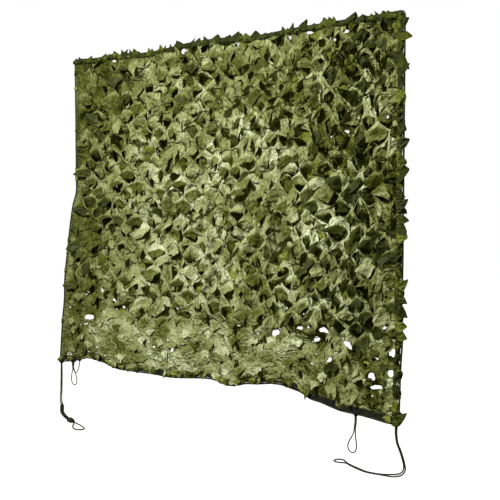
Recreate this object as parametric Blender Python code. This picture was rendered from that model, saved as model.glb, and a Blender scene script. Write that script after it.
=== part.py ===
"""Camouflage netting: a leaf-cut cloth with a border rope, hanging by its top edge.

Metres, +Z up. The cloth hangs in the XZ plane with its front towards -Y, and the
origin is the middle of the border rope's top run. A place on the cloth is given as
"across", measured to the right from the middle, and "down", measured from the top.
"""

import math
from collections import namedtuple

import bmesh
import bpy
from mathutils import Vector

# Cloth
HALF_WIDTH = 0.9915
DROP = 1.487
CLOTH_THICKNESS = 0.0025
TOP_CORNER_CUT = 0.016
FOOT_CORNER_CUT = 0.004
COLUMNS = 40
UPPER_ROWS = 17
LOWER_ROWS = 10
ROWS = UPPER_ROWS + LOWER_ROWS + 1
LOWER_START = 1.10

# Border rope round all four sides, just outside the cloth's edge
ROPE_DIAMETER = 0.008
EDGE_GAP = 0.0005
SHARPEST_TURN = 0.5

# Binding tape sewn along the foot of the cloth's front
TAPE_WIDTH = 0.024
TAPE_THICKNESS = 0.0015
TAPE_GAP = 0.0006

# Cords under the foot
TIE_DIAMETER = 0.006
LOOP_DIAMETER = 0.005
CORD_DIAMETERS_A_POINT = 2.4
CORD_MOST_POINTS = 80
CURVE_STEPS = 24
TUBE_BEVEL = 2
FLOOR = -1.685

# The foot swings forward below "start", by "reach" at the hem
Flare = namedtuple("Flare", "across start reach")
FLARES = (
    Flare(-1.0, 0.65, 0.110),
    Flare(-0.5, 0.85, 0.085),
    Flare(0.0, 1.00, 0.060),
    Flare(0.5, 1.10, 0.042),
    Flare(1.0, 1.20, 0.014),
)
FLARE_CURVE = 0.6

# The upper cloth bellies out over a crease and tucks in under it
Crease = namedtuple("Crease", "across down belly tuck")
CREASES = (
    Crease(-1.00, 1.14, 0.004, 0.004),
    Crease(-0.80, 1.12, 0.018, 0.014),
    Crease(-0.55, 1.15, 0.036, 0.024),
    Crease(-0.30, 1.14, 0.030, 0.020),
    Crease(-0.05, 1.20, 0.014, 0.010),
    Crease(0.25, 1.22, 0.022, 0.014),
    Crease(0.55, 1.20, 0.030, 0.020),
    Crease(0.80, 1.16, 0.018, 0.012),
    Crease(1.00, 1.15, 0.004, 0.004),
)
BELLY_ABOVE = 0.075
BELLY_HALF_HEIGHT = 0.085
TUCK_BELOW = 0.030
TUCK_HALF_HEIGHT = 0.050

# The hem rises in arches between the places where it hangs lowest
Rise = namedtuple("Rise", "across rise")
HEM_RISES = (
    Rise(-1.00, 0.000),
    Rise(-0.90, 0.020),
    Rise(-0.76, 0.050),
    Rise(-0.66, 0.044),
    Rise(-0.56, 0.020),
    Rise(-0.25, 0.028),
    Rise(0.05, 0.048),
    Rise(0.15, 0.036),
    Rise(0.28, 0.062),
    Rise(0.42, 0.080),
    Rise(0.52, 0.070),
    Rise(0.60, 0.042),
    Rise(0.78, 0.018),
    Rise(1.00, 0.000),
)
RISE_START = 1.10

# The top edge sags between the places where it is held
Sag = namedtuple("Sag", "across sag")
TOP_SAGS = (
    Sag(-1.00, 0.000),
    Sag(-0.70, 0.006),
    Sag(-0.42, 0.016),
    Sag(-0.10, 0.000),
    Sag(0.00, 0.000),
    Sag(0.25, 0.013),
    Sag(0.55, 0.004),
    Sag(1.00, 0.000),
)
SAG_END = 0.40

# Straight folds: "sink" goes back from the front, and a ridge has a negative sink
Fold = namedtuple("Fold", "name top_across top_down foot_across foot_down half_width sink")
FOLDS = (
    Fold("left end crease", -0.86, 0.02, -0.87, 0.28, 0.050, 0.022),
    Fold("left packing crease", -0.73, 0.55, -0.74, 0.92, 0.055, 0.020),
    Fold("left ridge", -0.62, 0.30, -0.60, 0.90, 0.090, -0.014),
    Fold("quarter groove", -0.42, 0.15, -0.45, 0.75, 0.080, 0.010),
    Fold("middle ridge", -0.20, 0.25, -0.22, 1.00, 0.110, -0.016),
    Fold("middle packing crease", -0.05, 0.13, 0.02, 1.44, 0.055, 0.024),
    Fold("right ridge", 0.20, 0.20, 0.18, 1.05, 0.100, -0.018),
    Fold("right packing crease", 0.40, 0.30, 0.38, 0.95, 0.060, 0.014),
    Fold("right swell", 0.62, 0.15, 0.60, 1.00, 0.100, -0.014),
    Fold("right end groove", 0.84, 0.05, 0.82, 1.25, 0.070, 0.018),
    Fold("hem pull left", -0.48, 1.27, -0.36, 1.40, 0.045, 0.014),
    Fold("hem pull right", 0.60, 1.14, 0.36, 1.36, 0.045, -0.018),
    Fold("hem swell left", -0.70, 1.30, -0.64, 1.46, 0.090, -0.016),
    Fold("hem swell middle", -0.18, 1.28, -0.16, 1.47, 0.080, -0.020),
    Fold("hem swell right", 0.72, 1.32, 0.76, 1.46, 0.090, -0.012),
)
FOLD_FADE = 0.10

# The largest see-through gaps, each the size of one parted leaf
Gap = namedtuple("Gap", "name across down width height")
GAPS = (
    Gap("gap_hem_left", -0.785, 1.262, 0.060, 0.030),
    Gap("gap_crease_left", -0.635, 1.125, 0.046, 0.020),
    Gap("gap_upper_middle", 0.190, 0.420, 0.028, 0.020),
    Gap("gap_pull_middle", 0.375, 1.222, 0.046, 0.032),
    Gap("gap_crease_middle", 0.525, 1.190, 0.042, 0.018),
    Gap("gap_crease_right", 0.645, 1.185, 0.048, 0.022),
    Gap("gap_hem_middle", 0.765, 1.232, 0.036, 0.024),
    Gap("gap_corner_upper", 0.930, 1.232, 0.026, 0.032),
    Gap("gap_corner_inner", 0.838, 1.345, 0.036, 0.028),
    Gap("gap_corner_outer", 0.925, 1.310, 0.042, 0.028),
    Gap("gap_corner_low", 0.925, 1.420, 0.048, 0.020),
    Gap("gap_right_edge", 0.930, 0.425, 0.028, 0.028),
)

# Cord routes, from one end under the hem, round the loop and back up to the other
TIE_LEFT_ROUTE = (
    (-0.990, -0.110, -1.4953),
    (-0.991, -0.110, -1.525),
    (-0.993, -0.112, -1.560),
    (-0.990, -0.115, -1.600),
    (-0.986, -0.120, -1.635),
    (-0.978, -0.130, -1.664),
    (-0.955, -0.146, -1.680),
    (-0.915, -0.170, -1.682),
    (-0.870, -0.197, -1.682),
    (-0.810, -0.240, -1.682),
    (-0.750, -0.281, -1.682),
    (-0.690, -0.313, -1.682),
    (-0.630, -0.337, -1.682),
    (-0.575, -0.353, -1.682),
    (-0.540, -0.361, -1.682),
    (-0.512, -0.378, -1.682),
    (-0.480, -0.404, -1.682),
    (-0.448, -0.421, -1.682),
    (-0.420, -0.424, -1.682),
    (-0.404, -0.408, -1.682),
    (-0.414, -0.389, -1.682),
    (-0.448, -0.375, -1.682),
    (-0.490, -0.362, -1.682),
    (-0.532, -0.351, -1.682),
    (-0.570, -0.342, -1.682),
    (-0.622, -0.325, -1.682),
    (-0.680, -0.299, -1.682),
    (-0.742, -0.268, -1.682),
    (-0.803, -0.227, -1.682),
    (-0.865, -0.183, -1.682),
    (-0.908, -0.155, -1.682),
    (-0.944, -0.133, -1.680),
    (-0.966, -0.119, -1.664),
    (-0.975, -0.112, -1.635),
    (-0.980, -0.108, -1.600),
    (-0.980, -0.107, -1.560),
    (-0.981, -0.108, -1.525),
    (-0.981, -0.109, -1.4939),
)
TIE_RIGHT_ROUTE = (
    (0.980, -0.014, -1.4958),
    (0.981, -0.015, -1.528),
    (0.986, -0.014, -1.560),
    (0.994, -0.010, -1.585),
    (1.001, -0.004, -1.614),
    (1.003, 0.003, -1.640),
    (0.998, 0.011, -1.662),
    (0.986, 0.013, -1.678),
    (0.977, -0.001, -1.682),
    (0.966, -0.014, -1.682),
    (0.948, -0.028, -1.682),
    (0.915, -0.042, -1.682),
    (0.876, -0.048, -1.682),
    (0.835, -0.038, -1.682),
    (0.785, -0.022, -1.682),
    (0.745, -0.004, -1.682),
    (0.724, 0.011, -1.682),
    (0.706, 0.016, -1.682),
    (0.692, 0.006, -1.682),
    (0.691, -0.012, -1.682),
    (0.704, -0.025, -1.682),
    (0.724, -0.025, -1.682),
    (0.749, -0.014, -1.682),
    (0.788, -0.030, -1.682),
    (0.838, -0.047, -1.682),
    (0.880, -0.057, -1.682),
    (0.922, -0.053, -1.682),
    (0.960, -0.044, -1.682),
    (0.986, -0.034, -1.682),
    (0.999, -0.014, -1.682),
    (1.006, 0.002, -1.678),
    (1.014, 0.008, -1.662),
    (1.017, 0.001, -1.640),
    (1.014, -0.006, -1.614),
    (1.006, -0.012, -1.585),
    (0.996, -0.016, -1.560),
    (0.990, -0.016, -1.528),
    (0.990, -0.014, -1.4955),
)
LOOP_LEFT_ROUTE = (
    (-0.899, -0.107, -1.4814),
    (-0.898, -0.106, -1.500),
    (-0.900, -0.103, -1.520),
    (-0.906, -0.103, -1.537),
    (-0.911, -0.103, -1.557),
    (-0.911, -0.103, -1.576),
    (-0.903, -0.103, -1.590),
    (-0.888, -0.103, -1.596),
    (-0.873, -0.103, -1.589),
    (-0.867, -0.103, -1.573),
    (-0.871, -0.103, -1.553),
    (-0.880, -0.103, -1.535),
    (-0.889, -0.103, -1.519),
    (-0.891, -0.106, -1.500),
    (-0.892, -0.107, -1.4804),
)
SLACK_LEFT_ROUTE = (
    (-0.882, -0.1065, -1.4788),
    (-0.883, -0.109, -1.497),
    (-0.882, -0.112, -1.513),
    (-0.873, -0.113, -1.525),
    (-0.860, -0.113, -1.529),
    (-0.848, -0.112, -1.521),
    (-0.841, -0.107, -1.495),
    (-0.841, -0.104, -1.4696),
)
LOOP_RIGHT_ROUTE = (
    (0.806, -0.030, -1.4838),
    (0.806, -0.030, -1.507),
    (0.803, -0.030, -1.530),
    (0.800, -0.030, -1.550),
    (0.790, -0.030, -1.570),
    (0.777, -0.030, -1.590),
    (0.772, -0.030, -1.608),
    (0.778, -0.030, -1.623),
    (0.793, -0.030, -1.630),
    (0.808, -0.030, -1.622),
    (0.814, -0.030, -1.604),
    (0.812, -0.030, -1.584),
    (0.809, -0.030, -1.565),
    (0.808, -0.030, -1.548),
    (0.809, -0.030, -1.530),
    (0.812, -0.030, -1.507),
    (0.812, -0.030, -1.4842),
)


def clear_scene():
    for obj in list(bpy.data.objects):
        bpy.data.objects.remove(obj)


def smooth_step(value):
    value = min(max(value, 0.0), 1.0)
    return value * value * (3.0 - 2.0 * value)


def bump(distance, half_size):
    """A soft ridge, 1 at its crest and 0 from twice its half size on."""
    return smooth_step(1.0 - abs(distance) / (2.0 * half_size))


def table_value(rows, across, column):
    """The named column of a table at this place, eased from row to row."""
    if across <= rows[0].across:
        return getattr(rows[0], column)
    for left, right in zip(rows, rows[1:]):
        if across <= right.across:
            share = smooth_step((across - left.across) / (right.across - left.across))
            start = getattr(left, column)
            return start + (getattr(right, column) - start) * share
    return getattr(rows[-1], column)


def flare_forward(across, down):
    start = table_value(FLARES, across, "start")
    share = max(0.0, (down - start) / (DROP - start))
    return table_value(FLARES, across, "reach") * share**FLARE_CURVE


def crease_forward(across, down):
    below = down - table_value(CREASES, across, "down")
    belly = table_value(CREASES, across, "belly") * bump(below + BELLY_ABOVE, BELLY_HALF_HEIGHT)
    tuck = table_value(CREASES, across, "tuck") * bump(below - TUCK_BELOW, TUCK_HALF_HEIGHT)
    return belly - tuck


def fold_sink(fold, across, down):
    """How far one straight fold moves this place back."""
    length_across = fold.foot_across - fold.top_across
    length_down = fold.foot_down - fold.top_down
    length = math.hypot(length_across, length_down)
    from_across = across - fold.top_across
    from_down = down - fold.top_down
    along = (from_across * length_across + from_down * length_down) / length
    aside = (from_across * length_down - from_down * length_across) / length
    past_end = max(-along, along - length, 0.0)
    return fold.sink * bump(aside, fold.half_width) * smooth_step(1.0 - past_end / FOLD_FADE)


def draped(across, down):
    """The place in space of a place on the hanging cloth."""
    back = sum(fold_sink(fold, across, down) for fold in FOLDS)
    back -= flare_forward(across, down) + crease_forward(across, down)
    rise = table_value(HEM_RISES, across, "rise")
    rise *= smooth_step((down - RISE_START) / (DROP - RISE_START))
    sag = table_value(TOP_SAGS, across, "sag") * (1.0 - smooth_step(down / SAG_END))
    below_rope = ROPE_DIAMETER / 2 + EDGE_GAP
    return Vector((across, back, rise - sag - down - below_rope))


def column_across(column):
    return HALF_WIDTH * (2.0 * column / COLUMNS - 1.0)


def row_down(row):
    """Wide rows, then close rows down to the binding tape's top edge, then the hem."""
    if row == ROWS:
        return DROP
    if row <= UPPER_ROWS:
        return LOWER_START * row / UPPER_ROWS
    share = (row - UPPER_ROWS) / LOWER_ROWS
    return LOWER_START + (DROP - TAPE_WIDTH - LOWER_START) * share


def cut_corner(across, down):
    """Draws the cloth's four corners in: the top ones are rounder."""
    if abs(across) == HALF_WIDTH and down == 0.0:
        return across - math.copysign(TOP_CORNER_CUT, across), TOP_CORNER_CUT
    if abs(across) == HALF_WIDTH and down == DROP:
        return across - math.copysign(FOOT_CORNER_CUT, across), DROP - FOOT_CORNER_CUT
    return across, down


def border_places():
    """The cloth's edge as (across, down), once round from the top left, down first."""
    places = [(-HALF_WIDTH, row_down(row)) for row in range(ROWS)]
    places += [(column_across(column), DROP) for column in range(COLUMNS)]
    places += [(HALF_WIDTH, row_down(row)) for row in range(ROWS, 0, -1)]
    places += [(column_across(column), 0.0) for column in range(COLUMNS, 0, -1)]
    return places


def make_material(name, colour, roughness):
    material = bpy.data.materials.new(name)
    material.use_nodes = True
    shader = material.node_tree.nodes["Principled BSDF"]
    shader.inputs["Base Color"].default_value = (*colour, 1.0)
    shader.inputs["Roughness"].default_value = roughness
    shader.inputs["Metallic"].default_value = 0.0
    return material


def leaf_cloth_material():
    return make_material("leaf_cut_polyester", (0.16, 0.20, 0.06), 0.75)


def rope_material():
    return make_material("braided_rope", (0.03, 0.04, 0.02), 0.7)


def tape_material():
    return make_material("woven_binding_tape", (0.04, 0.045, 0.03), 0.8)


def cord_material():
    return make_material("braided_cord", (0.02, 0.022, 0.018), 0.6)


def new_mesh_object(name, bm, material):
    mesh = bpy.data.meshes.new(name)
    bm.to_mesh(mesh)
    bm.free()
    obj = bpy.data.objects.new(name, mesh)
    mesh.materials.append(material)
    bpy.context.scene.collection.objects.link(obj)
    return obj


def thicken(obj, thickness, side):
    """Gives a sheet its thickness: side 0 is half each way, 1 is all to the front."""
    modifier = obj.modifiers.new("thickness", "SOLIDIFY")
    modifier.thickness = thickness
    modifier.offset = side
    modifier.use_even_offset = True
    modifier.use_rim = True


def flat_grid(columns, rows, place):
    """A grid whose vertex at (column, row) goes to place(column, row)."""
    bm = bmesh.new()
    bmesh.ops.create_grid(bm, x_segments=columns, y_segments=rows, size=1.0)
    for vert in bm.verts:
        column = round((vert.co.x + 1.0) / 2.0 * columns)
        row = round((1.0 - vert.co.y) / 2.0 * rows)
        vert.co = place(column, row)
    return bm


def cloth_place(column, row):
    across, down = cut_corner(column_across(column), row_down(row))
    return Vector((across, 0.0, -down))


def face_at(bm, across, down):
    """The flat grid's face whose middle is nearest to this place."""
    target = Vector((across, 0.0, -down))
    return min(bm.faces, key=lambda face: (face.calc_center_median() - target).length)


def part_leaf(bm, gap):
    """Opens one cell of the flat grid to the gap's width and height."""
    face = face_at(bm, gap.across, gap.down)
    middle = face.calc_center_median()
    for vert in face.verts:
        side = math.copysign(gap.width / 2, vert.co.x - middle.x)
        end = math.copysign(gap.height / 2, vert.co.z - middle.z)
        vert.co = (gap.across + side, 0.0, end - gap.down)
    bmesh.ops.delete(bm, geom=[face], context="FACES_ONLY")


def drape(bm):
    for vert in bm.verts:
        vert.co = draped(vert.co.x, -vert.co.z)


def face_front(bm):
    """Turns every face towards -Y."""
    for face in bm.faces:
        face.normal_update()
        if face.normal.y > 0.0:
            face.normal_flip()


def build_netting_cloth():
    bm = flat_grid(COLUMNS, ROWS, cloth_place)
    for gap in GAPS:
        part_leaf(bm, gap)
    drape(bm)
    face_front(bm)
    cloth = new_mesh_object("netting_cloth", bm, leaf_cloth_material())
    thicken(cloth, CLOTH_THICKNESS, 0.0)
    return cloth


def build_bottom_binding():
    def tape_place(column, row):
        return cloth_place(column, ROWS - 1 + row)

    bm = flat_grid(COLUMNS, 1, tape_place)
    drape(bm)
    face_front(bm)
    tape = new_mesh_object("bottom_binding", bm, tape_material())
    stand_off = tape.modifiers.new("stand_off", "DISPLACE")
    stand_off.strength = CLOTH_THICKNESS / 2 + TAPE_GAP
    stand_off.mid_level = 0.0
    thicken(tape, TAPE_THICKNESS, 1.0)
    return tape


def outward(before, here, after):
    """The direction in the cloth's face, square to the edge, that leaves the cloth."""
    along = (after - here).normalized() + (here - before).normalized()
    away = Vector((0.0, 1.0, 0.0)).cross(along)
    return away.normalized()


def rope_route():
    """The rope's centre line, kept its reach away from the edge at each turn too."""
    edge = [draped(*cut_corner(*place)) for place in border_places()]
    reach = ROPE_DIAMETER / 2 + EDGE_GAP
    route = []
    for index, here in enumerate(edge):
        before = edge[index - 1]
        after = edge[(index + 1) % len(edge)]
        away = outward(before, here, after)
        first_away = outward(before, here, here + (here - before))
        route.append(here + away * (reach / max(away.dot(first_away), SHARPEST_TURN)))
    return route


def add_tube(name, points, diameter, closed, material):
    curve = bpy.data.curves.new(name, "CURVE")
    curve.dimensions = "3D"
    curve.bevel_depth = diameter / 2
    curve.bevel_resolution = TUBE_BEVEL
    curve.use_fill_caps = not closed
    spline = curve.splines.new("POLY")
    spline.points.add(len(points) - 1)
    for point, place in zip(spline.points, points):
        point.co = (*place, 1.0)
    spline.use_cyclic_u = closed
    spline.use_smooth = True
    curve.materials.append(material)
    obj = bpy.data.objects.new(name, curve)
    bpy.context.scene.collection.objects.link(obj)
    return obj


def build_border_rope():
    return add_tube("border_rope", rope_route(), ROPE_DIAMETER, True, rope_material())


def curve_point(before, start, end, after, share):
    """A place on the smooth curve from start to end, by Catmull and Rom's rule."""
    square = share * share
    cube = square * share
    return 0.5 * (
        2.0 * start
        + (end - before) * share
        + (2.0 * before - 5.0 * start + 4.0 * end - after) * square
        + (3.0 * start - before - 3.0 * end + after) * cube
    )


def smooth_route(route, spacing):
    """Evenly spaced points on the smooth curve through the route's own points."""
    places = [Vector(place) for place in route]
    places = [2.0 * places[0] - places[1], *places, 2.0 * places[-1] - places[-2]]
    fine = [places[1]]
    for index in range(1, len(places) - 2):
        for step in range(1, CURVE_STEPS + 1):
            fine.append(curve_point(*places[index - 1 : index + 3], step / CURVE_STEPS))
    lengths = [0.0]
    for start, end in zip(fine, fine[1:]):
        lengths.append(lengths[-1] + (end - start).length)
    count = min(CORD_MOST_POINTS, max(2, round(lengths[-1] / spacing) + 1))
    points = []
    index = 0
    for number in range(count):
        target = lengths[-1] * number / (count - 1)
        while index < len(fine) - 2 and lengths[index + 1] < target:
            index += 1
        share = (target - lengths[index]) / (lengths[index + 1] - lengths[index])
        points.append(fine[index].lerp(fine[index + 1], min(share, 1.0)))
    return points


def build_cord(name, route, diameter, material):
    points = smooth_route(route, CORD_DIAMETERS_A_POINT * diameter)
    for point in points:
        point.z = max(point.z, FLOOR + diameter / 2)
    return add_tube(name, points, diameter, False, material)


def main():
    clear_scene()
    build_netting_cloth()
    build_bottom_binding()
    build_border_rope()
    cord = cord_material()
    build_cord("corner_tie_left", TIE_LEFT_ROUTE, TIE_DIAMETER, cord)
    build_cord("corner_tie_right", TIE_RIGHT_ROUTE, TIE_DIAMETER, cord)
    build_cord("hem_loop_left", LOOP_LEFT_ROUTE, LOOP_DIAMETER, cord)
    build_cord("hem_slack_left", SLACK_LEFT_ROUTE, LOOP_DIAMETER, cord)
    build_cord("hem_loop_right", LOOP_RIGHT_ROUTE, LOOP_DIAMETER, cord)


main()
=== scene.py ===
import math

import bmesh
import bpy
import numpy as np
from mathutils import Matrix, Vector
from mathutils.bvhtree import BVHTree


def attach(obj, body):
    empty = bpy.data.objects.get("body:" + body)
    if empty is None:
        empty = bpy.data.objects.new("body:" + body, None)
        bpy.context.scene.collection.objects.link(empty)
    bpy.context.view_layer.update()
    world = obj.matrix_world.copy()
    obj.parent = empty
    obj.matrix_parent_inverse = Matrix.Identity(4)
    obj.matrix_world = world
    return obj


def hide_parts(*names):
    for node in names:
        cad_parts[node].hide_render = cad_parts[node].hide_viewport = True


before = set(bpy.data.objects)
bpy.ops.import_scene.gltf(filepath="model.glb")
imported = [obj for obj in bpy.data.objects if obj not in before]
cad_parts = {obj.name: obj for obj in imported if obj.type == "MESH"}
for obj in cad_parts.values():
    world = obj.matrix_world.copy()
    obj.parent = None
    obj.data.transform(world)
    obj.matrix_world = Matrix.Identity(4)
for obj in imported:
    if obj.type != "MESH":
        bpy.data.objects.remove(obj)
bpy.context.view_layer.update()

# The net hangs in the XZ plane with its front towards -Y. "across" runs right from the
# middle and "down" from the top edge, both along the cut cloth, in metres.
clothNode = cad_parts["netting_cloth"]


def hexColour(code):
    channels = [int(code[place:place + 2], 16) / 255 for place in (0, 2, 4)]
    linear = [c / 12.92 if c <= 0.04045 else ((c + 0.055) / 1.055) ** 2.4 for c in channels]
    return (*linear, 1.0)


def smoothStep(value):
    value = np.clip(value, 0.0, 1.0)
    return value * value * (3.0 - 2.0 * value)


def softNoise(x, y, size, seed, crisp=False):
    # random hills between -1 and 1, one to each square of this size, rounded or faceted
    table = np.random.RandomState(seed).uniform(-1.0, 1.0, (97, 89))
    x = np.asarray(x) / size + 1000.0
    y = np.asarray(y) / size + 1000.0
    left = np.floor(x).astype(int)
    top = np.floor(y).astype(int)
    shareX = x - left if crisp else smoothStep(x - left)
    shareY = y - top if crisp else smoothStep(y - top)
    corner = [[table[(left + a) % 97, (top + b) % 89] for b in (0, 1)] for a in (0, 1)]
    upper = corner[0][0] * (1 - shareX) + corner[1][0] * shareX
    lower = corner[0][1] * (1 - shareX) + corner[1][1] * shareX
    return upper * (1 - shareY) + lower * shareY


def addObject(name, data):
    obj = bpy.data.objects.new(name, data)
    bpy.context.scene.collection.objects.link(obj)
    return obj


def newPiece(name, bm, material=None):
    mesh = bpy.data.meshes.new(name)
    bm.to_mesh(mesh)
    bm.free()
    mesh.shade_smooth()
    if material:
        mesh.materials.append(material)
    return addObject(name, mesh)


def flatGrid(bm, columns, rows):
    # a unit square of faces, with its corners and their places
    made = bmesh.ops.create_grid(bm, x_segments=columns, y_segments=rows, size=0.5)["verts"]
    return made, np.array([vert.co for vert in made])


def moveVerts(verts, spots):
    for vert, spot in zip(verts, spots):
        vert.co = spot


def setUv(bm, name, faces, spotOf):
    uv = bm.loops.layers.uv.get(name) or bm.loops.layers.uv.new(name)
    for face in faces:
        for loop in face.loops:
            loop[uv].uv = spotOf(loop.vert)


def addNode(tree, kind, sockets, output=0, stops=(), **settings):
    # one shader node: its sockets take a value or what feeds them, stops are a ramp's places
    # and colours, and it gives one output
    node = tree.nodes.new("ShaderNode" + kind)
    for name, value in settings.items():
        setattr(node, name, value)
    for name, value in sockets.items():
        if isinstance(value, bpy.types.NodeSocket):
            tree.links.new(value, node.inputs[name])
        else:
            node.inputs[name].default_value = value
    for number, (place, colour) in enumerate(stops):
        elements = node.color_ramp.elements
        if number == 0:
            elements.remove(elements[1])
        element = elements.new(place) if number else elements[0]
        element.position = place
        element.color = hexColour(colour)
    return node.outputs[output] if node.outputs else node


def newMaterial(name):
    material = bpy.data.materials.new(name)
    material.use_nodes = True
    material.node_tree.nodes.clear()
    return material, material.node_tree


view = {
    "place": (3.13, -2.95, -0.628),
    "turn": (86.4, 0.0, 44.6),  # degrees: looking a little down, along the net from its right
    "lens": 71.86,
    "floor": -1.685,
    "paper": "66665f",  # dim, with its own glow, so that it is white behind thin cords and no brighter
    "floorGlow": 1.0,
    "sky": 0.17,
    "skyColour": "c6d44a",
}
lamps = {
    # name: place, aim, size, watts, colour
    "key": ((0.3, -3.0, 1.35), (0.0, 0.0, -0.85), 0.6, 262.0, "fffff8"),
    "fill": ((3.6, -3.0, 0.6), (0.3, 0.0, -0.8), 2.4, 14.0, "fff8d8"),
    "behind": ((0.9, 3.0, 0.9), (0.0, 0.0, -0.85), 0.8, 190.0, "fffdf5"),
}


def setCamera():
    camera = addObject("camera", bpy.data.cameras.new("camera"))
    camera.location = view["place"]
    camera.rotation_euler = [math.radians(angle) for angle in view["turn"]]
    camera.data.lens = view["lens"]
    camera.data.clip_start = 0.05
    bpy.context.scene.camera = camera


def setLamps():
    for name, (place, target, size, watts, colour) in lamps.items():
        lamp = addObject(name, bpy.data.lights.new(name, "AREA"))
        lamp.data.shape = "DISK"
        lamp.data.size = size
        lamp.data.energy = watts
        lamp.data.color = hexColour(colour)[:3]
        lamp.location = place
        lamp.rotation_euler = (Vector(target) - lamp.location).to_track_quat("-Z", "Y").to_euler()


def setWorld():
    # a white studio to the eye, but a dimmer one to the cloth, so its gaps stay deep
    world = bpy.data.worlds.new("studio")
    world.use_nodes = True
    tree = world.node_tree
    tree.nodes.clear()
    seen = addNode(tree, "LightPath", {}, "Is Camera Ray")
    bright = addNode(tree, "Background", {"Color": hexColour("ffffff"), "Strength": 1.0})
    dim = addNode(tree, "Background", {"Color": hexColour(view["skyColour"]), "Strength": view["sky"]})
    mix = addNode(tree, "MixShader", {0: seen, 1: dim, 2: bright})
    addNode(tree, "OutputWorld", {"Surface": mix})
    bpy.context.scene.world = world


def layFloor():
    bm = bmesh.new()
    bmesh.ops.create_grid(bm, x_segments=1, y_segments=1, size=9.0)
    bmesh.ops.translate(bm, verts=bm.verts, vec=(0.0, 0.0, view["floor"] - 0.0005))
    # studio paper: pale and matt, with a glow
    paper, tree = newMaterial("studio_paper")
    shader = addNode(tree, "BsdfPrincipled", {
        "Base Color": hexColour(view["paper"]), "Roughness": 0.9,
        "Emission Color": hexColour("ffffff"), "Emission Strength": view["floorGlow"]})
    addNode(tree, "OutputMaterial", {"Surface": shader})
    floor = newPiece("floor", bm, paper)
    floor.visible_diffuse = False  # its glow whitens it to the eye and doesn't light the cloth
    floor.visible_glossy = False


setCamera()
setLamps()
setWorld()
layFloor()
bpy.context.scene.view_settings.view_transform = "Standard"
print("view and light set")

cordSizes = {
    "tie": 0.006,
    "loop": 0.005,
    "ground": -1.682,  # the middle of a tie that lies down
    "sides": 12,
    "rowLength": 0.0012,  # a tube's faces along its length
    "plaits": 4,
    "plaitDepth": 0.13,
    "plaitPitch": 0.016,
    "colours": ("0c0e08", "23261a"),
}
hitch = {
    "above": 0.0045,  # from a cord's ends up to the border rope's middle
    "radius": 0.0042,
    "turns": 2.5,
    "slackTurns": 1.5,
    "spread": 1.1,  # one turn's width, in cords
    "rowLength": 0.0016,
}
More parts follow.
